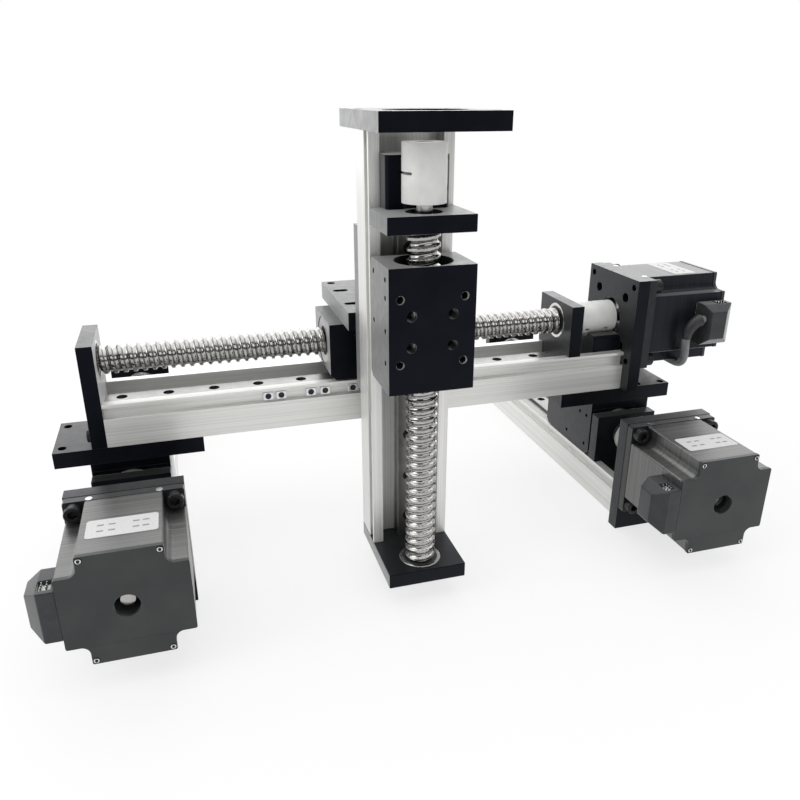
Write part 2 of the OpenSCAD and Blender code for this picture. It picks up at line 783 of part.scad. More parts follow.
on_upright() channel_block(upright_block_x, upright_block_l);  // upright_channel_block
on_left() motor();  // left_motor
on_right() motor();  // right_motor
on_beam() motor();  // beam_motor
on_left() motor_shaft(short_coupling_x);  // left_motor_shaft
on_right() motor_shaft(short_coupling_x);  // right_motor_shaft
on_beam() motor_shaft(beam_coupling_x);  // beam_motor_shaft
union() {  // base_terminal_boxes
    on_left() terminal_box();
    on_right() terminal_box();
}
on_beam() terminal_box();  // beam_terminal_box
union() {  // carriage_risers
    carriage_riser(left_x);
    carriage_riser(right_x);
}
mount_plate(left_plate_x, left_holes);  // left_mount_plate
mount_plate(right_plate_x, right_holes);  // right_mount_plate
upright_bracket();
motor_lead();
lead_coil();
lead_plug();
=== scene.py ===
import json
from math import cos, pi, radians, sin

import bmesh
import bpy
import numpy as np
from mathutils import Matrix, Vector
from mathutils.geometry import tessellate_polygon

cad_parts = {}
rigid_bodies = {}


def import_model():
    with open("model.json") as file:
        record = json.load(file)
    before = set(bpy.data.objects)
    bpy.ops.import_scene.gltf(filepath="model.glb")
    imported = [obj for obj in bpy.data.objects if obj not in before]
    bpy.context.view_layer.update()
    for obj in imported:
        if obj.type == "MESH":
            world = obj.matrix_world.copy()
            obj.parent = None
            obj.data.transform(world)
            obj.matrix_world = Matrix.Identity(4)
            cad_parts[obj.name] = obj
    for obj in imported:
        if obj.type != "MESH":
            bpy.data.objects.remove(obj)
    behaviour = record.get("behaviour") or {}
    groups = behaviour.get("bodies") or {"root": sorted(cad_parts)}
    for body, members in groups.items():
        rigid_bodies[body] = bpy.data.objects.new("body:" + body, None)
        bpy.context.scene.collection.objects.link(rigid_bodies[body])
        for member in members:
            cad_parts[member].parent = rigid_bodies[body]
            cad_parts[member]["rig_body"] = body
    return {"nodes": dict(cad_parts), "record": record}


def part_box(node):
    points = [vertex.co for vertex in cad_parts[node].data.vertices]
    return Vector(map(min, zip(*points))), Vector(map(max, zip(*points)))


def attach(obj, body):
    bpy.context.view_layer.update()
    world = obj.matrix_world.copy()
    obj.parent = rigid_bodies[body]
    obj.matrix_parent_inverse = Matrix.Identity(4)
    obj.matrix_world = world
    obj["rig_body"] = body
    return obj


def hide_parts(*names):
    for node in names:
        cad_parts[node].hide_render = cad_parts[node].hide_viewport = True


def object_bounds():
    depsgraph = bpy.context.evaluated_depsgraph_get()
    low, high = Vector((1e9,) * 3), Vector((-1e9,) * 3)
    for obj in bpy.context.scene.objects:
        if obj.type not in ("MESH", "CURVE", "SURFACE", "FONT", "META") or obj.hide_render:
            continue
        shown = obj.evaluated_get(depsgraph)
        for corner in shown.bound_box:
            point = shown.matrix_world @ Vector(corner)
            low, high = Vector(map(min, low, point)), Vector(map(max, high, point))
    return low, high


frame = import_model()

cad_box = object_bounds()
nodes = frame["nodes"]
scene = bpy.context.scene
scene.view_settings.view_transform = "Standard"


# ---------------------------------------------------------------------------
# The camera
# It stands in front and to the left, a little higher than the upright's top,
# and looks down on the machine.

camera_data = bpy.data.cameras.new("camera")
camera_data.sensor_width = 36
camera_data.lens = 33.72
camera_place = (-0.1236, -0.4394, 0.2519)
camera_down = 22.18
camera_right = 16.45
camera_data.clip_start = 0.01
camera = bpy.data.objects.new("camera", camera_data)
camera.location = camera_place
camera.rotation_euler = (radians(90 - camera_down), 0, radians(-camera_right))
scene.collection.objects.link(camera)
scene.camera = camera


# ---------------------------------------------------------------------------
# The beam motor's lead
# A round grey PVC sheath over the motor's wires, 5 mm thick. It leaves the
# terminal box through a rubber grommet, hangs under the motor and down to the
# floor, and its spare length lies coiled round to a moulded plug.

lead_thick = 0.005
lead_route = np.array([
    (0.185, -0.0615, 0.1228), (0.1813, -0.0615, 0.1222), (0.178, -0.0614, 0.1203),
    (0.1756, -0.0612, 0.1174), (0.1744, -0.061, 0.1139), (0.1742, -0.0608, 0.110),
    (0.1749, -0.0602, 0.1058), (0.1762, -0.059, 0.1013), (0.1779, -0.0567, 0.0968),
    (0.1799, -0.053, 0.0927), (0.1816, -0.0476, 0.0897), (0.1829, -0.0415, 0.0884),
    (0.1836, -0.034, 0.0881), (0.184, -0.026, 0.088), (0.184, -0.015, 0.0875),
    (0.184, -0.005, 0.0853), (0.184, 0.003, 0.0804), (0.184, 0.009, 0.072),
    (0.184, 0.012, 0.061), (0.184, 0.013, 0.048), (0.184, 0.013, 0.036), (0.184, 0.013, 0.027),
    (0.1841, 0.013, 0.021), (0.1855, 0.0132, 0.0155), (0.1887, 0.0137, 0.0112),
    (0.1932, 0.0146, 0.0085), (0.1985, 0.0155, 0.0077), (0.206, 0.016, 0.0077),
])
coil_centre = (0.217, -0.010)
coil_radius = 0.026
coil_turns = 1.5
coil_low = 0.0026
coil_high = 0.0077
lead_end = np.array([[0.2110, -0.036, coil_low], [0.2035, -0.036, coil_low]])


def coil_points():
    """Points on a circle, clockwise from its far side. The height stays high for half a turn,
    falls through the next half turn as 3t^2 - 2t^3, and stays low under the first."""
    turn = np.linspace(0, coil_turns, 49)
    angle = pi / 2 - 2 * pi * turn
    fall = np.clip((turn - 0.5) / 0.45, 0, 1)
    height = coil_high + (coil_low - coil_high) * fall ** 2 * (3 - 2 * fall)
    x = coil_centre[0] + coil_radius * np.cos(angle)
    y = coil_centre[1] + coil_radius * np.sin(angle)
    return np.column_stack([x, y, height])


def eased(points, per_span):
    """A uniform cubic B-spline along the points, per_span steps a span. Each end is mirrored,
    so that the curve starts and stops on its end points, and no bend is tighter than theirs."""
    p = np.vstack([2 * points[0] - points[1], points, 2 * points[-1] - points[-2]])
    a, b, c, d = (p[i:len(p) - 3 + i, None] for i in range(4))
    t = np.linspace(0, 1, per_span, endpoint=False)[None, :, None]
    curve = ((1 - t) ** 3 * a + (3 * t ** 3 - 6 * t ** 2 + 4) * b
             + (1 + 3 * t + 3 * t ** 2 - 3 * t ** 3) * c + t ** 3 * d) / 6
    return np.vstack([curve.reshape(-1, 3), points[-1:]])


def walls(rings, sides, closed=False):
    """Four-sided faces between neighbouring rings of points, each ring closed on itself. Where the
    rings are a closed loop, the last is joined to the first."""
    ring = np.arange(rings if closed else rings - 1)[:, None]
    side = np.arange(sides)[None, :]
    after = (ring + 1) % rings
    beside = (side + 1) % sides
    corners = [ring * sides + side, ring * sides + beside, after * sides + beside, after * sides + side]
    return np.stack([np.broadcast_to(c, (len(ring), sides)) for c in corners], -1).reshape(-1, 4)


def tube(line, radius, sides):
    """Rings round a line of points: each point plus radius times cos(angle) a + sin(angle) b, where
    a and b are unit vectors across the line. Both ends get a cap."""
    ahead = np.gradient(line, axis=0)
    ahead /= np.linalg.norm(ahead, axis=1, keepdims=True)
    a = np.cross(ahead, (1, 1, 1))
    a /= np.linalg.norm(a, axis=1, keepdims=True)
    b = np.cross(ahead, a)
    angle = np.linspace(0, 2 * pi, sides, endpoint=False)[None, :, None]
    r = np.broadcast_to(radius, len(line))[:, None, None]
    rings = line[:, None] + r * (np.cos(angle) * a[:, None] + np.sin(angle) * b[:, None])
    faces = walls(len(line), sides).tolist()
    last = (len(line) - 1) * sides
    faces += [list(range(sides - 1, -1, -1)), list(range(last, last + sides))]
    return rings.reshape(-1, 3), faces


def made(name, points, faces, material, body, slot, smooth=40):
    """A new piece from points and faces. Faces that meet at less than smooth degrees shade as one."""
    mesh = bpy.data.meshes.new(name)
    mesh.from_pydata(np.asarray(points).tolist(), [], [list(map(int, f)) for f in faces])
    mesh.polygons.foreach_set("use_smooth", np.ones(len(mesh.polygons), bool))
    mesh.set_sharp_from_angle(angle=radians(smooth))
    mesh.materials.append(material)
    piece = bpy.data.objects.new(name, mesh)
    scene.collection.objects.link(piece)
    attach(piece, body)
    return piece


def surface(name, colour, metallic, roughness):
    """A Principled material, with its node tree, its shader and the object's own coordinates."""
    material = bpy.data.materials.new(name)
    material.use_nodes = True
    tree = material.node_tree
    shader = tree.nodes["Principled BSDF"]
    shader.inputs["Base Color"].default_value = (*colour, 1)
    shader.inputs["Metallic"].default_value = metallic
    shader.inputs["Roughness"].default_value = roughness
    place = tree.nodes.new("ShaderNodeTexCoord").outputs["Object"]
    return material, tree, shader, place


def grain(tree, place, size, stretch=(1, 1, 1), detail=3.0):
    """Noise whose grains are about size metres, drawn out by stretch along each axis."""
    mapping = tree.nodes.new("ShaderNodeMapping")
    mapping.inputs["Scale"].default_value = tuple(1 / s for s in stretch)
    noise = tree.nodes.new("ShaderNodeTexNoise")
    noise.inputs["Scale"].default_value = 1 / size
    noise.inputs["Detail"].default_value = detail
    tree.links.new(place, mapping.inputs["Vector"])
    tree.links.new(mapping.outputs["Vector"], noise.inputs["Vector"])
    return noise.outputs["Fac"]


def spread(tree, value, low, high):
    """Maps the middle of a noise, 0.3 to 0.7, onto low to high."""
    ranger = tree.nodes.new("ShaderNodeMapRange")
    ranger.inputs["From Min"].default_value = 0.3
    ranger.inputs["From Max"].default_value = 0.7
    ranger.inputs["To Min"].default_value = low
    ranger.inputs["To Max"].default_value = high
    tree.links.new(value, ranger.inputs["Value"])
    return ranger.outputs["Result"]


def shades(tree, shader, value, dark, light):
    """The base colour runs from dark to light with a noise."""
    mix = tree.nodes.new("ShaderNodeMix")
    mix.data_type = "RGBA"
    mix.inputs["A"].default_value = (*dark, 1)
    mix.inputs["B"].default_value = (*light, 1)
    tree.links.new(spread(tree, value, 0, 1), mix.inputs["Factor"])
    tree.links.new(mix.outputs["Result"], shader.inputs["Base Color"])


def relief(tree, shader, value, height):
    """Bumps of the given height in metres, from a noise."""
    bump = tree.nodes.new("ShaderNodeBump")
    bump.inputs["Strength"].default_value = 1
    bump.inputs["Distance"].default_value = height
    tree.links.new(value, bump.inputs["Height"])
    tree.links.new(bump.outputs["Normal"], shader.inputs["Normal"])


def finished(node, material, edge=0.0004):
    """A welded copy of a CAD node stands in its place, with every sharp edge broken by edge metres."""
    mesh = bpy.data.meshes.new(node + "_finished")
    work = bmesh.new()
    work.from_mesh(nodes[node].data)
    bmesh.ops.remove_doubles(work, verts=work.verts, dist=2e-6)
    bmesh.ops.dissolve_limit(work, angle_limit=radians(0.5), verts=work.verts, edges=work.edges)
    work.to_mesh(mesh)
    work.free()
    mesh.polygons.foreach_set("use_smooth", np.ones(len(mesh.polygons), bool))
    mesh.materials.append(material)
    piece = bpy.data.objects.new(node + "_finished", mesh)
    scene.collection.objects.link(piece)
    break_edges(piece, edge)
    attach(piece, nodes[node]["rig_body"])
    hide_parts(node)
    return piece


def break_edges(piece, edge):
    """A narrow two-step bevel on every edge sharper than 30 degrees. The large faces stay flat."""
    broken = piece.modifiers.new("broken_edges", "BEVEL")
    broken.width = edge
    broken.segments = 2
    broken.limit_method = "ANGLE"
    broken.angle_limit = radians(30)
    flat = piece.modifiers.new("flat_faces", "WEIGHTED_NORMAL")
    flat.weight = 90


slot_of = {s["node"]: s["material_slot"] for s in frame["record"]["subparts"]}
lead_line = eased(np.vstack([lead_route, coil_points(), lead_end]), 4)

pvc, tree, shader, place = surface("grey_pvc_sheath", (0.20, 0.21, 0.22), 0, 0.42)
shades(tree, shader, grain(tree, place, 0.004), (0.13, 0.135, 0.14), (0.20, 0.205, 0.21))
relief(tree, shader, grain(tree, place, 0.0006), 0.00003)
plug_black, tree, shader, place = surface("moulded_plug_black", (0.02, 0.02, 0.022), 0, 0.46)
shades(tree, shader, grain(tree, place, 0.003), (0.014, 0.014, 0.016), (0.028, 0.028, 0.031))
relief(tree, shader, grain(tree, place, 0.0003), 0.00002)

plug = finished("lead_plug", plug_black, 0.0006)
lead = made("motor_lead_sheath", *tube(lead_line, lead_thick / 2, 24), pvc, "y_gantry", "lead_grey")
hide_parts("motor_lead", "lead_coil")

grommet_flare = 0.0014
grommet_wall = 0.00015
grommet_line = lead_line[3:20]
grommet_reach = np.linspace(0, 1, len(grommet_line))
grommet_radius = lead_thick / 2 + grommet_flare * (1 - grommet_reach) ** 0.7 + grommet_wall
made("lead_grommet", *tube(grommet_line, grommet_radius, 24), plug_black, "y_gantry", "lead_grey")


# ---------------------------------------------------------------------------
# The floor, the light and the white surroundings
# A white table runs out to a white backdrop. Soft lamps hang over it, behind it
# and to its left, with a weak one in front. In polished metal the backdrop
# mirrors dark toward the front, where a studio is open.

floor_half = 30
floor_z = -0.0003
floor_corners = np.array([(-1, -1, 0), (1, -1, 0), (1, 1, 0), (-1, 1, 0)]) * floor_half + (0, 0, floor_z)
floor_mesh = bpy.data.meshes.new("floor")
floor_mesh.from_pydata(floor_corners.tolist(), [], [(0, 1, 2, 3)])
floor = bpy.data.objects.new("floor", floor_mesh)
scene.collection.objects.link(floor)
floor_white = bpy.data.materials.new("white_floor")
floor_white.use_nodes = True
tree = floor_white.node_tree
tree.nodes.clear()
out = tree.nodes.new("ShaderNodeOutputMaterial")
matt = tree.nodes.new("ShaderNodeBsdfDiffuse")
matt.inputs["Color"].default_value = (0.9, 0.9, 0.9, 1)
glow = tree.nodes.new("ShaderNodeEmission")
glow.inputs["Color"].default_value = (1, 1, 1, 1)
blend = tree.nodes.new("ShaderNodeMixShader")
path = tree.nodes.new("ShaderNodeLightPath")
coordinates = tree.nodes.new("ShaderNodeTexCoord")
far = tree.nodes.new("ShaderNodeVectorMath")
far.operation = "LENGTH"
fade = tree.nodes.new("ShaderNodeMapRange")
fade.inputs["From Min"].default_value = 0.30
fade.inputs["From Max"].default_value = 0.75
fade.inputs["To Min"].default_value = 0.72
fade.inputs["To Max"].default_value = 1.0


def seen_or_mirrored(tree, path):
    """1 for rays that come from the camera, from a gloss or through glass, and 0 for the rest."""
    either = tree.nodes.new("ShaderNodeMath")
    either.operation = "MAXIMUM"
    tree.links.new(path.outputs["Is Camera Ray"], either.inputs[0])
    tree.links.new(path.outputs["Is Glossy Ray"], either.inputs[1])
    any_of = tree.nodes.new("ShaderNodeMath")
    any_of.operation = "MAXIMUM"
    tree.links.new(either.outputs["Value"], any_of.inputs[0])
    tree.links.new(path.outputs["Is Transmission Ray"], any_of.inputs[1])
    return any_of.outputs["Value"]


seen = tree.nodes.new("ShaderNodeMath")
seen.operation = "MULTIPLY"
tree.links.new(coordinates.outputs["Object"], far.inputs[0])
tree.links.new(far.outputs["Value"], fade.inputs["Value"])
tree.links.new(fade.outputs["Result"], seen.inputs[0])
tree.links.new(seen_or_mirrored(tree, path), seen.inputs[1])
tree.links.new(seen.outputs["Value"], blend.inputs["Fac"])
tree.links.new(matt.outputs["BSDF"], blend.inputs[1])
tree.links.new(glow.outputs["Emission"], blend.inputs[2])
tree.links.new(blend.outputs["Shader"], out.inputs["Surface"])
floor_mesh.materials.append(floor_white)

world = bpy.data.worlds.new("studio")
world.use_nodes = True
scene.world = world
tree = world.node_tree
tree.nodes.clear()
out = tree.nodes.new("ShaderNodeOutputWorld")
ambient = tree.nodes.new("ShaderNodeBackground")
ambient.inputs["Color"].default_value = (1, 1, 1, 1)
ambient.inputs["Strength"].default_value = 0.5
backdrop = tree.nodes.new("ShaderNodeBackground")
backdrop.inputs["Color"].default_value = (1, 1, 1, 1)
backdrop.inputs["Strength"].default_value = 1.0
choose = tree.nodes.new("ShaderNodeMixShader")
path = tree.nodes.new("ShaderNodeLightPath")
heading = tree.nodes.new("ShaderNodeSeparateXYZ")
ray = tree.nodes.new("ShaderNodeTexCoord")
tree.links.new(ray.outputs["Generated"], heading.inputs[0])
room = tree.nodes.new("ShaderNodeMapRange")
room.inputs["From Min"].default_value = -0.7
room.inputs["From Max"].default_value = 0.1
room.inputs["To Min"].default_value = 0.05
room.inputs["To Max"].default_value = 1.0
tree.links.new(heading.outputs["Y"], room.inputs["Value"])
mirrored = tree.nodes.new("ShaderNodeMix")
mirrored.inputs["A"].default_value = 1.0
tree.links.new(path.outputs["Is Glossy Ray"], mirrored.inputs["Factor"])
tree.links.new(room.outputs["Result"], mirrored.inputs["B"])
tree.links.new(mirrored.outputs["Result"], backdrop.inputs["Strength"])
tree.links.new(seen_or_mirrored(tree, path), choose.inputs["Fac"])
tree.links.new(ambient.outputs["Background"], choose.inputs[1])
tree.links.new(backdrop.outputs["Background"], choose.inputs[2])
tree.links.new(choose.outputs["Shader"], out.inputs["Surface"])


def softbox(name, place, target, wide, high, watts):
    """A rectangular area lamp at place that points at target."""
    lamp = bpy.data.lights.new(name, "AREA")
    lamp.shape = "RECTANGLE"
    lamp.size = wide
    lamp.size_y = high
    lamp.energy = watts
    holder = bpy.data.objects.new(name, lamp)
    holder.location = place
    aim = Vector(target) - Vector(place)
    holder.rotation_euler = aim.to_track_quat("-Z", "Y").to_euler()
    holder.visible_camera = False
    scene.collection.objects.link(holder)


machine_middle = (0, 0, 0.1)
softbox("overhead_softbox", (-0.1, 0.2, 1.5), machine_middle, wide=2.6, high=2.6, watts=19)
softbox("rear_softbox", (0.3, 1.5, 0.66), machine_middle, wide=3.6, high=1.3, watts=16)
softbox("left_softbox", (-1.3, -0.3, 0.8), machine_middle, wide=0.8, high=0.8, watts=6)
softbox("front_softbox", (0.4, -1.4, 0.9), machine_middle, wide=1.6, high=0.6, watts=5)


# ---------------------------------------------------------------------------
# Profiles
# A channel of drawn aluminium with a T-slot in each side and two in its back,
# clear anodised. The die leaves fine lines all along it.

modules = ("left", "right", "beam", "upright")
along = {"left": (1, 300, 1), "right": (1, 300, 1), "beam": (300, 1, 1), "upright": (1, 1, 300)}
for module in modules:
    drawn, tree, shader, place = surface(f"drawn_aluminium_{module}", (0.80, 0.80, 0.78), 0.5, 0.36)
    lines = grain(tree, place, 0.0008, along[module], 4)
    shades(tree, shader, lines, (0.66, 0.66, 0.64), (0.83, 0.83, 0.81))
    tree.links.new(spread(tree, lines, 0.28, 0.44), shader.inputs["Roughness"])
    relief(tree, shader, lines, 0.00003)
    finished(f"{module}_profile", drawn, 0.0002)


# ---------------------------------------------------------------------------
# Rails
# Ground and hardened steel with a waist on each side for the balls. Small
# socket screws hold them down, sunk in counterbores.

module_turn = {
    "left": np.array([(0, -1, 0), (1, 0, 0), (0, 0, 1)]),
    "right": np.array([(0, -1, 0), (1, 0, 0), (0, 0, 1)]),
    "beam": np.array([(-1, 0, 0), (0, -1, 0), (0, 0, 1)]),
    "upright": np.array([(0, 1, 0), (0, 0, -1), (-1, 0, 0)]),
}


def module_start(module):
    """The point on a module's screw axis at the outer face of its motor plate."""
    ahead = module_turn[module][:, 0]
    axis = sum(np.array(corner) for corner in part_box(f"{module}_screw")) / 2
    plate = min(np.array(corner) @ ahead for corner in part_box(f"{module}_motor_plate"))
    return axis + (plate - axis @ ahead) * ahead


def in_module(points, module):
    """Points from a module's own frame, x along it, y across and z up from its screw's axis."""
    return np.asarray(points) @ module_turn[module].T + module_start(module)


def from_module(points, module):
    """Points of the machine as a module's own frame sees them."""
    return (np.asarray(points) - module_start(module)) @ module_turn[module]


def placed(shape, module):
    """A shape's points and faces, moved from a module's own frame to the machine."""
    return in_module(shape[0], module), shape[1]


def turned(x, radius, sides=32, closed=False):
    """A turned shape about the x axis: at each x a ring of points (x, r cos, r sin). The radius may
    differ round the ring, as on a hexagon. A closed profile makes a ring, an open one gets caps."""
    angle = np.linspace(0, 2 * pi, sides, endpoint=False)
    x = np.asarray(x, float)[:, None]
    r = np.broadcast_to(np.asarray(radius, float).reshape(len(x), -1), (len(x), sides))
    rings = np.stack([np.broadcast_to(x, r.shape), r * np.cos(angle), r * np.sin(angle)], -1)
    faces = walls(len(x), sides, closed).tolist()
    if not closed:
        last = (len(x) - 1) * sides
        faces += [list(range(sides - 1, -1, -1)), list(range(last, last + sides))]
    return rings.reshape(-1, 3), faces


def hexagon(across, sides):
    """The radius of a hexagon round its circle: half its width over the cosine from its flat."""
    angle = np.linspace(0, 2 * pi, sides, endpoint=False)
    return across / 2 / np.cos((angle + pi / 6) % (pi / 3) - pi / 6)


def cap_screw(head_d, head_h, socket, sides=24):
    """A socket cap screw's head, standing from x = 0 to x = head_h, with a small chamfer and a
    hexagon socket half as deep as the head."""
    r = head_d / 2
    edge = head_d * 0.05
    countersink = 1.08
    bottom = 0.45
    hexed = hexagon(socket, sides)
    rings = [np.full(sides, v) for v in (r, r, r - edge)] + [hexed * countersink, hexed, hexed]
    x = [0, head_h - edge, head_h, head_h, head_h - socket * 0.06, head_h * bottom]
    return turned(x, np.stack(rings), sides)


def facing(axis):
    """A turn that lays the x axis along another axis."""
    ahead = np.array(axis, float)
    side = np.roll(ahead, 1)
    return np.column_stack([ahead, side, np.cross(ahead, side)])


def copies(shape, places, axis=(1, 0, 0)):
    """One set of points and faces with a copy of a shape at every place, its x axis laid along axis."""
    points, faces = shape
    points = np.asarray(points) @ facing(axis).T
    places = np.asarray(places, float).reshape(-1, 1, 3)
    everywhere = (points[None] + places).reshape(-1, 3)
    return everywhere, [[i + k * len(points) for i in f] for k in range(len(places)) for f in faces]


ground, tree, shader, place = surface("ground_rail_steel", (0.62, 0.62, 0.61), 1, 0.26)
tree.links.new(spread(tree, grain(tree, place, 0.004), 0.27, 0.34), shader.inputs["Roughness"])
shades(tree, shader, grain(tree, place, 0.006), (0.28, 0.28, 0.275), (0.33, 0.33, 0.325))
# Black oxide for the screws. The same black lines the carriages' tapped holes, as painted shade there.
black_oxide_and_hole_shade, tree, shader, place = surface("black_oxide_screw_and_hole_shade", (0.02, 0.02, 0.021), 0.6, 0.36)
shades(tree, shader, grain(tree, place, 0.002), (0.014, 0.014, 0.015), (0.032, 0.032, 0.034))
tree.links.new(spread(tree, grain(tree, place, 0.0008), 0.28, 0.46), shader.inputs["Roughness"])

rail_floor = 0.0305
rail_high = 0.008
rail_pitch = 0.025
rail_screw_sunk = 0.0042
rail_screws = {"left": 0.0635, "right": 0.0635, "beam": 0.061, "upright": 0.0635}
for module in modules:
    finished(f"{module}_rail", ground, 0.00015)
    far_end = from_module(np.array(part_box(f"{module}_rail")), module)[:, 0].max()
    x = np.arange(rail_screws[module], far_end - 0.005, rail_pitch)
    z = np.full(len(x), rail_high - rail_floor - rail_screw_sunk)
    heads = copies(cap_screw(0.0055, 0.003, 0.0025), np.column_stack([x, 0 * x, z]), (0, 0, 1))
    made(f"{module}_rail_screws", *placed(heads, module), black_oxide_and_hole_shade,
         nodes[f"{module}_rail"]["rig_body"], "rail_steel")


# ---------------------------------------------------------------------------
# Guide blocks
# A steel saddle that runs on the rail, with a green moulded cap over the ball
# returns at each end.

caps_green, tree, shader, place = surface("green_end_caps", (0.02, 0.12, 0.05), 0, 0.42)
shades(tree, shader, grain(tree, place, 0.003), (0.014, 0.095, 0.04), (0.026, 0.14, 0.06))


def ends_of(piece, module, material, deep):
    """Gives the faces within deep of a piece's two ends, along its module, another material."""
    mesh = piece.data
    centres = np.empty(len(mesh.polygons) * 3)
    mesh.polygons.foreach_get("center", centres)
    x = from_module(centres.reshape(-1, 3), module)[:, 0]
    corners = np.empty(len(mesh.vertices) * 3)
    mesh.vertices.foreach_get("co", corners)
    reach = from_module(corners.reshape(-1, 3), module)[:, 0]
    at_end = (x < reach.min() + deep) | (x > reach.max() - deep)
    mesh.materials.append(material)
    mesh.polygons.foreach_set("material_index", at_end.astype(np.int32))


for module in modules:
    saddle = finished(f"{module}_guide_block", ground, 0.0002)
    ends_of(saddle, module, caps_green, 0.0039)


# ---------------------------------------------------------------------------
# Ball screws
# Rolled from bearing steel: a right-hand helix of round ball track in a 16 mm
# bar with 5 mm of lead, its ends turned down to 8 mm for the bearings.

screw_lead = 0.005
screw_radius = 0.008
journal_radius = 0.004
track_radius = 0.00175
track_deep = 0.0015
screw_sides = 48
thread_step = 0.00025
thread_core = 0.003
journal_chamfer = 0.0004


def rolled_thread(x, radius):
    """The helical ball track. At a distance s from the track's middle the bar loses
    sqrt(track_radius^2 - s^2) - (track_radius - track_deep), and nothing where that is below 0.
    The middle moves one lead along the axis in each right-hand turn."""
    angle = np.linspace(0, 2 * pi, screw_sides, endpoint=False)[None, :]
    s = (x[:, None] - screw_lead * angle / (2 * pi) + screw_lead / 2) % screw_lead - screw_lead / 2
    arc = np.sqrt(np.clip(track_radius ** 2 - s ** 2, 0, None)) - (track_radius - track_deep)
    return radius[:, None] - np.clip(arc, 0, None)


def ball_screw(module, thread_x, thread_end, near_x, far_x):
    """Journal, chamfer, thread, chamfer and journal as rings along the axis, 0.25 mm apart in the
    threaded part."""
    x = np.arange(thread_x, thread_end, thread_step)
    r = np.minimum(screw_radius, journal_radius + thread_core + np.minimum(x - thread_x, thread_end - x))
    thread = np.maximum(rolled_thread(x, r), journal_radius)
    journal = np.full((1, screw_sides), journal_radius)
    tip = journal - journal_chamfer
    start = [near_x, near_x + journal_chamfer, thread_x]
    stop = [thread_end, far_x - journal_chamfer, far_x]
    stations = np.concatenate([start, x, stop])
    radii = np.vstack([tip, journal, journal, thread, journal, journal, tip])
    points, faces = turned(stations, radii, screw_sides)
    return in_module(points, module), faces


bright, tree, shader, place = surface("rolled_screw_steel", (0.62, 0.615, 0.60), 1, 0.16)
shades(tree, shader, grain(tree, place, 0.003), (0.36, 0.355, 0.345), (0.46, 0.455, 0.445))
tree.links.new(spread(tree, grain(tree, place, 0.003), 0.12, 0.2), shader.inputs["Roughness"])
for module in modules:
    low, high = from_module(np.array(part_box(f"{module}_screw")), module)[:, 0][[0, 1]]
    near_x, far_x = min(low, high), max(low, high)
    thread_x = from_module(np.array(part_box(f"{module}_bearing_plate")), module)[:, 0].max() + 0.00015
    thread_end = from_module(np.array(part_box(f"{module}_end_plate")), module)[:, 0].min() - 0.0003
    screw = made(f"{module}_rolled_screw", *ball_screw(module, thread_x, thread_end, near_x, far_x), bright,
                 nodes[f"{module}_screw"]["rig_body"], slot_of[f"{module}_screw"])
    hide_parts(f"{module}_screw")


# ---------------------------------------------------------------------------
# Ball nuts
# A ground steel sleeve pressed into the carriage's bore, with a white plastic
# wiper at each end that keeps the balls clean.

nut_steel, tree, shader, place = surface("ground_nut_steel", (0.34, 0.34, 0.335), 1, 0.3)
tree.links.new(spread(tree, grain(tree, place, 0.0015), 0.24, 0.4), shader.inputs["Roughness"])
wiper_white, tree, shader, place = surface("white_wiper", (0.62, 0.62, 0.58), 0, 0.5)
shades(tree, shader, grain(tree, place, 0.002), (0.56, 0.56, 0.52), (0.66, 0.66, 0.62))
for module in modules:
    nut = finished(f"{module}_ball_nut", nut_steel, 0.0003)
    ends_of(nut, module, wiper_white, 0.0029)
far_face = from_module(np.array(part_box("beam_carriage")), "beam")[:, 0].max()
rim = turned([-0.003, -0.0006, -0.0003, -0.0003, -0.0007, -0.003],
             [0.0139, 0.0139, 0.0136, 0.0098, 0.0086, 0.0086], 48, True)
made("beam_nut_rim", in_module(rim[0] + (far_face, 0, 0), "beam"), rim[1], nut_steel,
     nodes["beam_carriage"]["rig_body"], slot_of["beam_ball_nut"])


# ---------------------------------------------------------------------------
# Bearings
# Deep groove ball bearings: two ground rings with a shield between them, flush
# with the plate that they are pressed into. A black rubber seal covers the
# side toward the thread.

shield, tree, shader, place = surface("bearing_rings", (0.66, 0.66, 0.65), 1, 0.2)
tree.links.new(spread(tree, grain(tree, place, 0.0014), 0.14, 0.28), shader.inputs["Roughness"])
for group in ("base_bearings", "beam_bearings", "upright_bearings"):
    finished(group, shield, 0.0002)
rubber, tree, shader, place = surface("black_seal_rubber", (0.012, 0.012, 0.012), 0, 0.5)
shades(tree, shader, grain(tree, place, 0.0012), (0.009, 0.009, 0.009), (0.017, 0.017, 0.017))
seal = turned([-0.00028, -0.00012, -0.00008, -0.00028], [0.0061, 0.0061, 0.0092, 0.0096], 48, True)
for module in modules:
    first = from_module(np.array(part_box(f"{module}_bearing_plate")), module)[:, 0].max()
    last = from_module(np.array(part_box(f"{module}_end_plate")), module)[:, 0].min()
    for name, x, way in (("near", first, 1), ("far", last, -1)):
        points, faces = copies(seal, [(0, 0, 0)], (way, 0, 0))
        made(f"{module}_{name}_seal", in_module(points + (x, 0, 0), module), faces, rubber,
             nodes[f"{module}_bearing_plate"]["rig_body"], "bearing_steel")


# ---------------------------------------------------------------------------
# Plates
# Motor, bearing and end plates and the blocks in the channel are milled from
# aluminium bar, tumbled and black anodised, with their edges lightly broken.

def satin_black(shader, head_on):
    """A hard dyed film: dark when seen head on, light at a low angle. The colour head_on is what its
    gloss keeps of the light that comes straight back."""
    shader.inputs["IOR"].default_value = 1.7
    shader.inputs["Specular Tint"].default_value = (*head_on, 1)
    shader.inputs["Sheen Weight"].default_value = 1.0
    shader.inputs["Sheen Roughness"].default_value = 0.3


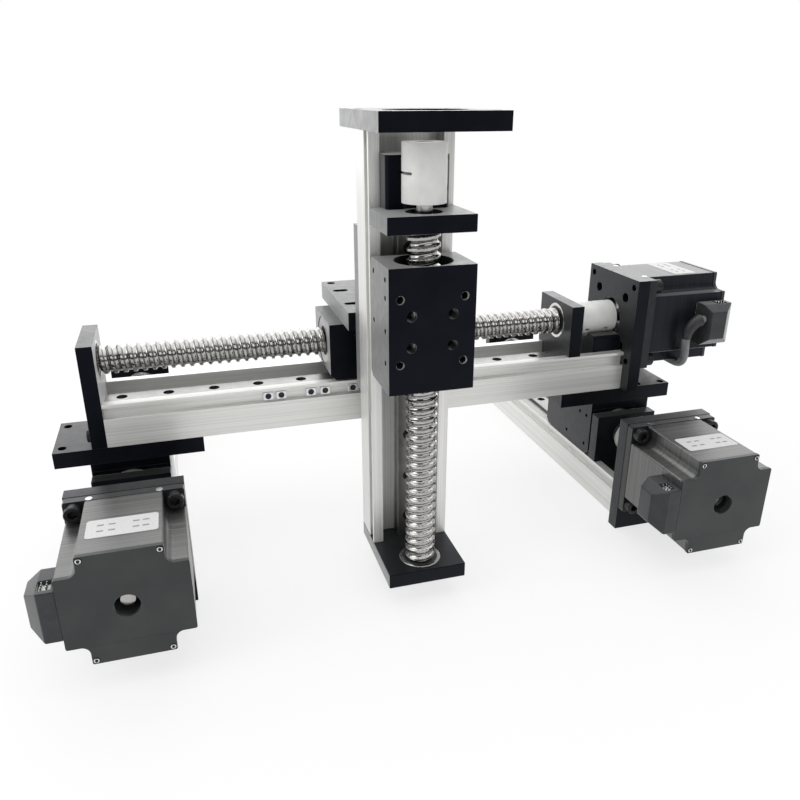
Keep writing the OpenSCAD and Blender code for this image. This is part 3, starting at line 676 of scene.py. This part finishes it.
anodised, tree, shader, place = surface("black_anodised", (0.004, 0.0042, 0.0075), 0, 0.34)
shades(tree, shader, grain(tree, place, 0.011), (0.0018, 0.0021, 0.0034), (0.0036, 0.0041, 0.0062))
tree.links.new(spread(tree, grain(tree, place, 0.0045), 0.28, 0.40), shader.inputs["Roughness"])
satin_black(shader, (0.05, 0.06, 0.09))
relief(tree, shader, grain(tree, place, 0.00045), 0.00001)
for module in modules:
    for part in ("motor_plate", "bearing_plate", "end_plate"):
        finished(f"{module}_{part}", anodised)
finished("beam_channel_block", anodised)
finished("upright_channel_block", anodised)


# ---------------------------------------------------------------------------
# Plate screws
# Low button screws go through each end plate into the end of its profile.

end_screw_y = np.array([-0.0165, -0.006, 0.006, 0.0165])
end_screw_z = -0.0368
for module in modules:
    outer = from_module(np.array(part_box(f"{module}_end_plate")), module)[:, 0].max()
    places = np.column_stack([np.full(4, outer), end_screw_y, np.full(4, end_screw_z)])
    heads = copies(cap_screw(0.0070, 0.0018, 0.0025), places)
    made(f"{module}_end_screws", *placed(heads, module), black_oxide_and_hole_shade,
         nodes[f"{module}_end_plate"]["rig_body"], "black_anodised")


# ---------------------------------------------------------------------------
# Shaft couplings
# Turned from aluminium bar and glass-bead blasted, with a saw cut half way and
# two set screws to each end that bear on the motor's shaft and the ball screw.

blasted, tree, shader, place = surface("blasted_aluminium", (0.72, 0.72, 0.70), 0.25, 0.55)
shades(tree, shader, grain(tree, place, 0.006), (0.66, 0.66, 0.645), (0.74, 0.74, 0.725))
relief(tree, shader, grain(tree, place, 0.00025), 0.000012)
coupling_turn = {"left": 0, "right": 0, "beam": -141, "upright": -88}
set_screw_turns = (16, -74)
set_screw_apart = 0.0065
set_screw_out = 0.0092


def set_screw(thick, deep, socket, sides=24):
    """A grub screw seen from outside: a plain round end with a chamfer and a hexagon socket."""
    hexed = hexagon(socket, sides)
    r = thick / 2
    rings = [np.full(sides, v) for v in (r, r, r - 0.0003)] + [hexed, hexed]
    return turned([-deep, -0.0003, 0, 0, -deep * 0.6], np.stack(rings), sides)


for module in modules:
    finished(f"{module}_coupling", blasted, 0.0004)
    middle = from_module(np.array(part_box(f"{module}_coupling")), module)[:, 0].mean()
    for number, lean in enumerate(set_screw_turns):
        angle = radians(lean + coupling_turn[module])
        out_way = np.array((0, -sin(angle), cos(angle)))
        side = np.array((1.0, 0, 0))
        turn = np.column_stack([out_way, side, np.cross(out_way, side)])
        points, faces = set_screw(0.0031, 0.003, 0.0015)
        ends = middle + np.array([-1, 1]) * set_screw_apart
        places = ends[:, None] * side + out_way * set_screw_out
        both = ((points @ turn.T)[None] + places[:, None]).reshape(-1, 3)
        faces = faces + [[i + len(points) for i in f] for f in faces]
        made(f"{module}_set_screws_{number + 1}", in_module(both, module), faces, black_oxide_and_hole_shade,
             nodes[f"{module}_coupling"]["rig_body"], "coupling_aluminium")


# ---------------------------------------------------------------------------
# Carriages
# Milled aluminium blocks, black anodised. Their tapped holes show bare metal
# where the thread begins, and below that a black thread paints the shade
# deeper in each hole. Screws down the inner holes hold the guide block
# underneath.

carriage_top = 0.015
tap_radius = 0.00208
tap_deep = 0.008
tap_thread = 0.0008
mouth_radius = 0.00211
mouth_deep = 0.0014
thread_sunk = 0.0004
mouth_sunk = 0.00015
block_screw_sunk = 0.0033
tap_pitch = 0.031
inner_along = 0.015
inner_across = 0.020
bare, tree, shader, place = surface("bare_cut_aluminium", (0.80, 0.80, 0.78), 0.4, 0.3)
tree.links.new(spread(tree, grain(tree, place, 0.0008), 0.2, 0.4), shader.inputs["Roughness"])


def square_corners(long, wide):
    """The corners (x, y, 0) of a rectangle round the origin, long in x and wide in y."""
    corners = np.array([(-1, -1, 0), (-1, 1, 0), (1, -1, 0), (1, 1, 0)])
    return corners * (long / 2, wide / 2, 0)


def tapped_thread(deep, radius, pitch, sides=20):
    """The wall of a tapped hole below x = 0. Its radius falls from the drilled size by a triangle
    wave of x less one pitch a turn. The faces look in, at the air in the hole."""
    x = np.linspace(-deep, 0, int(deep / pitch * 6))[:, None]
    angle = np.linspace(0, 2 * pi, sides, endpoint=False)[None, :]
    wave = np.abs(((x / pitch - angle / (2 * pi)) % 1) * 2 - 1)
    r = radius - 0.00028 * wave
    rings = np.stack([np.broadcast_to(x, r.shape), r * np.cos(angle), r * np.sin(angle)], -1)
    return rings.reshape(-1, 3), [f[::-1] for f in walls(len(x), sides).tolist()]


for module in modules:
    finished(f"{module}_carriage", anodised)
    body = nodes[f"{module}_carriage"]["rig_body"]
    middle = from_module(np.array(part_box(f"{module}_carriage")), module)[:, 0].mean()
    taps = square_corners(tap_pitch, tap_pitch)
    sleeve_places = taps + (middle, 0, carriage_top - thread_sunk)
    # The thread below each bare mouth is black: painted shade inside the hole.
    sleeves = copies(tapped_thread(tap_deep, tap_radius, tap_thread), sleeve_places, (0, 0, 1))
    made(f"{module}_carriage_threads_painted_shade", *placed(sleeves, module), black_oxide_and_hole_shade, body,
         "black_anodised")
    mouth_places = taps + (middle, 0, carriage_top - mouth_sunk)
    mouths = copies(tapped_thread(mouth_deep, mouth_radius, tap_thread), mouth_places, (0, 0, 1))
    made(f"{module}_carriage_mouths", *placed(mouths, module), bare, body,
         "black_anodised")
    seat_z = from_module(np.array(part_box(f"{module}_carriage")), module)[:, 2].min() + block_screw_sunk
    inner_places = square_corners(inner_along, inner_across) + (middle, 0, seat_z)
    heads = copies(cap_screw(0.0046, 0.0026, 0.002), inner_places, (0, 0, 1))
    made(f"{module}_block_screws", *placed(heads, module), black_oxide_and_hole_shade, body, "block_steel")


# ---------------------------------------------------------------------------
# Motors
# Stepper motors: a cast front flange, a stack of steel laminations with a
# notch along each corner for the bolts, and a rear cover with a hole over the
# shaft's end. The stacks are lit and shaded copies of one steel: a light bare
# tone on the base motors, and painted shade, near black, on the beam motor.

motor_half = 0.0283
motor_long = 0.055
flange_thick = 0.005
cover_thick = 0.002
gasket_thick = 0.0004
bolt_square = 0.02357
bolt_hole = 0.0026
flange_bore = 0.0043
stack_bore = 0.0056
cover_bore = 0.00575


def arc(centre, radius, start, stop, steps):
    """Points on a circle from start to stop degrees."""
    a = np.radians(np.linspace(start, stop, steps))
    return np.column_stack([centre[0] + radius * np.cos(a), centre[1] + radius * np.sin(a)])


def four_ways(corner):
    """A corner's points, repeated round the square at 90, 180 and 270 degrees."""
    turns = [np.array([(cos(a), sin(a)), (-sin(a), cos(a))]) for a in (0, pi / 2, pi, 3 * pi / 2)]
    return np.vstack([corner @ t for t in turns])


def rounded_square(half, radius):
    """A square of the given half width with corners of the given radius, counterclockwise."""
    return four_ways(arc((half - radius, half - radius), radius, 0, 90, 7))


def notched_square(half, notch=0.0099, inner=0.004, lip=0.0009):
    """A square whose corners are cut back by a notch: two small rounded lips, and between them an
    inward arc of the inner radius."""
    corner = half - notch
    side_lip = arc((half - lip, corner - lip), lip, 0, 90, 5)
    hollow = arc((corner + inner, corner + inner), inner, 270, 180, 10)
    top_lip = arc((corner - lip, half - lip), lip, 0, 90, 5)
    return four_ways(np.vstack([side_lip, hollow, top_lip]))


def milled(outline, x0, x1, holes=(), sides=28):
    """A slab from x0 to x1 with a y-z outline and round holes (y, z, radius) through it. The walls are
    strips between the same points at x0 and x1, and both faces are filled by triangles."""
    loops = [outline] + [arc((y, z), r, 360, 360 / sides, sides) for y, z, r in holes]
    flat = np.vstack(loops)
    count = len(flat)
    points = np.vstack([np.column_stack([np.full(count, x), flat]) for x in (x0, x1)])
    faces = []
    first = 0
    for loop in loops:
        k = np.arange(len(loop))
        n = (k + 1) % len(loop)
        faces += np.column_stack([first + k, first + n, first + n + count, first + k + count]).tolist()
        first += len(loop)
    for a, b, c in tessellate_polygon([[Vector((y, z, 0)) for y, z in loop] for loop in loops]):
        (ay, az), (by, bz), (cy, cz) = flat[a], flat[b], flat[c]
        left_turn = (by - ay) * (cz - az) - (bz - az) * (cy - ay) > 0
        a, b, c = (a, b, c) if left_turn else (a, c, b)
        faces += [[c, b, a], [a + count, b + count, c + count]]
    return points, faces


flange_black, tree, shader, place = surface("cast_flange_black", (0.012, 0.0125, 0.013), 0, 0.36)
shades(tree, shader, grain(tree, place, 0.005), (0.009, 0.0095, 0.010), (0.017, 0.018, 0.019))
satin_black(shader, (0.25, 0.26, 0.28))
relief(tree, shader, grain(tree, place, 0.0005), 0.00002)
cover_black, tree, shader, place = surface("cover_black", (0.028, 0.031, 0.031), 0, 0.34)
shades(tree, shader, grain(tree, place, 0.02), (0.022, 0.025, 0.026), (0.036, 0.039, 0.039))
shader.inputs["Specular IOR Level"].default_value = 0.35
shader.inputs["Sheen Weight"].default_value = 0.5
shader.inputs["Sheen Roughness"].default_value = 0.3
relief(tree, shader, grain(tree, place, 0.0004), 0.000012)
# The gasket's black also makes the painted recess shade round the cover screws.
gasket_and_recess_shade_black, tree, shader, place = surface("gasket_and_recess_shade_black", (0.004, 0.004, 0.004), 0, 0.7)
zinc, tree, shader, place = surface("bright_zinc", (0.70, 0.71, 0.72), 1, 0.25)
shades(tree, shader, grain(tree, place, 0.001), (0.6, 0.61, 0.62), (0.76, 0.77, 0.78))

layers = {"left": (200, 1, 200), "right": (200, 1, 200), "beam": (1, 200, 200)}
# Lit and shaded copies of one stack steel: the base motors' light bare tone, and the beam motor's
# near-black tone, which is painted shade.
lit_stack_tone = ((0.105, 0.106, 0.106), (0.20, 0.20, 0.196), 0.85)
shaded_stack_tone = ((0.004, 0.005, 0.007), (0.014, 0.015, 0.018), 0)
lit_and_shaded_stack_tones = {"left": lit_stack_tone, "right": lit_stack_tone, "beam": shaded_stack_tone}
cover_front = -motor_long + cover_thick
gasket_front = cover_front + gasket_thick
for module in modules[:3]:
    dark, light, metal = lit_and_shaded_stack_tones[module]
    stack, tree, shader, place = surface(f"laminated_stack_{module}", light, metal, 0.36)
    plies = grain(tree, place, 0.0007, layers[module], 3)
    shades(tree, shader, plies, dark, light)
    tree.links.new(spread(tree, plies, 0.28, 0.44), shader.inputs["Roughness"])
    if module == "beam":
        satin_black(shader, (0.10, 0.11, 0.15))
    relief(tree, shader, plies, 0.00003)

    body = nodes[f"{module}_motor"]["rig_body"]
    holes = [(y * bolt_square, z * bolt_square, bolt_hole) for y in (-1, 1) for z in (-1, 1)]
    flange = milled(rounded_square(motor_half, 0.0012), -flange_thick, 0, holes + [(0, 0, flange_bore)])
    plates = milled(notched_square(motor_half - 0.0002), gasket_front, -flange_thick, [(0, 0, stack_bore)])
    gasket = milled(notched_square(motor_half - 0.0006, 0.0101), cover_front, gasket_front,
                    [(0, 0, stack_bore)])
    cover = milled(notched_square(motor_half), -motor_long, cover_front, [(0, 0, cover_bore)])
    for name, shape, paint, edge in (("flange", flange, flange_black, 0.0003),
                                     ("stack", plates, stack, 0.0002),
                                     ("gasket", gasket, gasket_and_recess_shade_black, 0),
                                     ("cover", cover, cover_black, 0.0003)):
        piece = made(f"{module}_motor_{name}", *placed(shape, module), paint, body,
                     slot_of[f"{module}_motor"], 180 if edge else 40)
        if edge:
            break_edges(piece, edge)
        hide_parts(f"{module}_motor")
    pilot = turned([0, 0.0012, 0.0016, 0.0016, 0], [0.01905, 0.01905, 0.01865, 0.0043, 0.0043], 48, True)
    made(f"{module}_motor_pilot", *placed(pilot, module), zinc, body,
         slot_of[f"{module}_motor"])


# ---------------------------------------------------------------------------
# Motor shafts
# Ground steel, 8 mm into the coupling and a stepped tail in the rear cover.

for module in modules[:3]:
    finished(f"{module}_motor_shaft", bright, 0.0003)


# ---------------------------------------------------------------------------
# Motor bolts and cover screws
# Black oxide socket bolts lie in the corner notches and hold the motor to its
# plate. Four small bright screws hold the rear cover, each ringed by a black
# disc that paints the shade of a recess round its head.

cover_screw_y = 0.0166
cover_screw_z = 0.0263
cover_screws = [(-motor_long, y * cover_screw_y, z * cover_screw_z) for y in (-1, 1) for z in (-1, 1)]
motor_bolts = [(-flange_thick, y * bolt_square, z * bolt_square) for y in (-1, 1) for z in (-1, 1)]
for module in modules[:3]:
    body = nodes[f"{module}_motor"]["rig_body"]
    heads = copies(cap_screw(0.0085, 0.005, 0.004), motor_bolts, (-1, 0, 0))
    made(f"{module}_motor_bolts", *placed(heads, module), black_oxide_and_hole_shade, body, "motor_black")
    # A black disc under each cover screw's rim is painted shade: the cover itself has no recess.
    recess_shade_disc = turned([-0.0002, 0.00002, 0.00006], [0.0017, 0.0017, 0.0016], 20)
    recess_shade_discs = copies(recess_shade_disc, cover_screws, (-1, 0, 0))
    made(f"{module}_cover_recess_shade_discs", *placed(recess_shade_discs, module), gasket_and_recess_shade_black, body,
         "motor_black")
    rim = turned([0, 0.0003, 0.0004, 0.0003, 0], [0.00125, 0.00125, 0.0010, 0.00075, 0.00075], 20, True)
    heads = copies(rim, cover_screws, (-1, 0, 0))
    made(f"{module}_cover_screws", *placed(heads, module), zinc, body, "motor_black")
    # Two small bright zinc discs on each flange's top edge are painted highlights.
    highlight_discs = copies(turned([0, 0.00012, 0.00015], [0.0017, 0.0017, 0.0015], 20),
                   [(-0.0034, y, motor_half) for y in (-0.0166, 0.0160)], (0, 0, 1))
    made(f"{module}_flange_highlight_discs", *placed(highlight_discs, module), zinc, body, "motor_black")


# ---------------------------------------------------------------------------
# Labels
# A white paper label with rounded corners is stuck on each motor's top. Its
# two rows of printed marks are plain grey bars.

label_white, tree, shader, place = surface("label_paper", (0.60, 0.60, 0.60), 0, 0.5)
shades(tree, shader, grain(tree, place, 0.0009), (0.56, 0.56, 0.56), (0.63, 0.63, 0.63))
label_ink, tree, shader, place = surface("label_ink", (0.24, 0.24, 0.25), 0, 0.6)
shades(tree, shader, grain(tree, place, 0.0005), (0.18, 0.18, 0.19), (0.34, 0.34, 0.35))


def rounded_plate(x0, x1, y0, y1, radius):
    """A rectangle in x and y with rounded corners, counterclockwise."""
    return np.vstack([arc((x1 - radius, y1 - radius), radius, 0, 90, 7),
                      arc((x0 + radius, y1 - radius), radius, 90, 180, 7),
                      arc((x0 + radius, y0 + radius), radius, 180, 270, 7),
                      arc((x1 - radius, y0 + radius), radius, 270, 360, 7)])


def laid_flat(shape):
    """A slab turned so that its outline lies in x and y and its thickness goes up."""
    points, faces = shape
    return points @ facing((0, 0, 1)).T, faces


label_x = {"left": (-0.0410, -0.0255), "right": (-0.0410, -0.0255), "beam": (-0.0420, -0.0265)}
label_y = (-0.0163, 0.0151)
label_z = motor_half - 0.0002
label_thick = 0.00012
label_corner = 0.0016
ink_thick = 0.00003
for module in modules[:3]:
    body = nodes[f"{module}_motor"]["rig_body"]
    x0, x1 = label_x[module]
    y0, y1 = label_y
    sheet = rounded_plate(x0, x1, y0, y1, label_corner)
    paper = laid_flat(milled(sheet, label_z, label_z + label_thick))
    made(f"{module}_label", *placed(paper, module), label_white, body, "motor_black")
    bar_x = np.array([x0 + 0.0052, x1 - 0.0052])
    bar_y = np.array([y0 + 0.0055, y0 + 0.0098, y1 - 0.0112, y1 - 0.0062])
    bar = laid_flat(milled(rounded_plate(-0.0006, 0.0006, -0.0015, 0.0015, 0.0003), 0, ink_thick))
    where = np.array([(x, y, label_z + label_thick) for x in bar_x for y in bar_y])
    bars = copies(bar, where)
    made(f"{module}_label_marks", *placed(bars, module), label_ink, body, "motor_black")


# ---------------------------------------------------------------------------
# Terminal boxes
# Moulded black nylon, bevelled all round and clipped to the motor's side. A
# white pin header stands in the socket at the top.

box_nylon, tree, shader, place = surface("terminal_box_nylon", (0.022, 0.023, 0.024), 0, 0.4)
shades(tree, shader, grain(tree, place, 0.006), (0.018, 0.019, 0.020), (0.030, 0.031, 0.033))
satin_black(shader, (0.4, 0.41, 0.43))
relief(tree, shader, grain(tree, place, 0.0004), 0.00002)
header_white, tree, shader, place = surface("header_nylon", (0.66, 0.66, 0.62), 0, 0.45)
shades(tree, shader, grain(tree, place, 0.002), (0.6, 0.6, 0.56), (0.7, 0.7, 0.66))
finished("base_terminal_boxes", box_nylon, 0.0005)
finished("beam_terminal_box", box_nylon, 0.0005)
header_low = 0.0097
header_top = header_low + 0.0012
pin_across = 0.0019
pin_along = 0.0023
for module in modules[:3]:
    box_node = "beam_terminal_box" if module == "beam" else "base_terminal_boxes"
    body = nodes[box_node]["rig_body"]
    outline = rounded_plate(-motor_long + 0.0036, -motor_long + 0.0094, motor_half + 0.0022,
                            motor_half + 0.0071, 0.0004)
    block = laid_flat(milled(outline, header_low, header_top))
    made(f"{module}_header", *placed(block, module), header_white, body, slot_of[box_node])
    pin = turned([0, 0.0022, 0.0025], [0.00035, 0.00035, 0.0002], 8)
    spots = [(-motor_long + 0.0046 + pin_across * i, motor_half + 0.0035 + pin_along * j, header_top)
             for i in range(3) for j in range(2)]
    pins = copies(pin, spots, (0, 0, 1))
    made(f"{module}_header_pins", *placed(pins, module), zinc, body, slot_of[box_node])


# ---------------------------------------------------------------------------
# Carriage risers and mount plates
# Two risers are bolted on the base carriages through counterbores, and carry
# the two plates that the beam stands on.

finished("carriage_risers", anodised)
finished("left_mount_plate", anodised)
finished("right_mount_plate", anodised)
riser_bolt_sunk = 0.0055
for module in ("left", "right"):
    middle = from_module(np.array(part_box(f"{module}_carriage")), module)[:, 0].mean()
    riser_top = from_module(np.array(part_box("carriage_risers")), module)[:, 2].max()
    spots = square_corners(tap_pitch, tap_pitch) + (middle, 0, riser_top - riser_bolt_sunk)
    heads = copies(cap_screw(0.0085, 0.005, 0.004), spots, (0, 0, 1))
    made(f"{module}_riser_bolts", *placed(heads, module), black_oxide_and_hole_shade,
         nodes["carriage_risers"]["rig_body"], "black_anodised")


# ---------------------------------------------------------------------------
# The upright's bracket
# A flat plate on the beam's carriage with a plate up its front, both milled
# and black anodised. Bolts through the upright plate pull the profile on.

finished("upright_bracket", anodised)
leg_thick = 0.008
leg_bolt_sunk = 0.004
leg_bolt_half = 0.010
leg_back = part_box("upright_profile")[1].y + leg_thick
leg_x = (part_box("upright_profile")[0].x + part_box("upright_profile")[1].x) / 2
leg_low, leg_high = 0.111, 0.181
spots = [(leg_x + s * leg_bolt_half, leg_back - leg_bolt_sunk, z)
         for s in (-1, 1) for z in (leg_low, leg_high)]
heads = copies(cap_screw(0.0085, 0.0046, 0.004), spots, (0, 1, 0))
made("bracket_leg_bolts", heads[0], heads[1], black_oxide_and_hole_shade, nodes["upright_bracket"]["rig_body"], "black_anodised")


# ---------------------------------------------------------------------------
# Slot nuts
# Square zinc-plated nuts left loose in the beam's front slot, for a cover or
# a switch, each with a black grub screw in it.

nut_places = (-0.0840, -0.0767, -0.0598, -0.0516, -0.0354)
slot_z = -0.02365
nut_half = 0.0028
nut_squeeze = (0.78, 1)
nut_bore = 0.0017
nut_back = 0.0175
nut_face = 0.0195
for number, x in enumerate(nut_places):
    along_beam = module_start("beam")[0] - x
    outline = rounded_square(nut_half, 0.0004) * nut_squeeze
    square = milled(outline, nut_back, nut_face, [(0, 0, nut_bore)])
    points = square[0] @ facing((0, 1, 0)).T + (along_beam, 0, slot_z)
    nut = made(f"slot_nut_{number + 1}", in_module(points, "beam"), square[1], zinc,
               nodes["beam_profile"]["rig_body"], "screw_steel", 180)
    break_edges(nut, 0.0002)
    grub = turned([nut_back, 0.0188, 0.0189], [nut_bore, nut_bore, nut_bore - 0.0001], 20)
    points = grub[0] @ facing((0, 1, 0)).T + (along_beam, 0, slot_z)
    made(f"slot_grub_{number + 1}", in_module(points, "beam"), grub[1], black_oxide_and_hole_shade,
         nodes["beam_profile"]["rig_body"], "screw_steel")


# ---------------------------------------------------------------------------
# The bounds of the CAD model as imported

low, high = cad_box
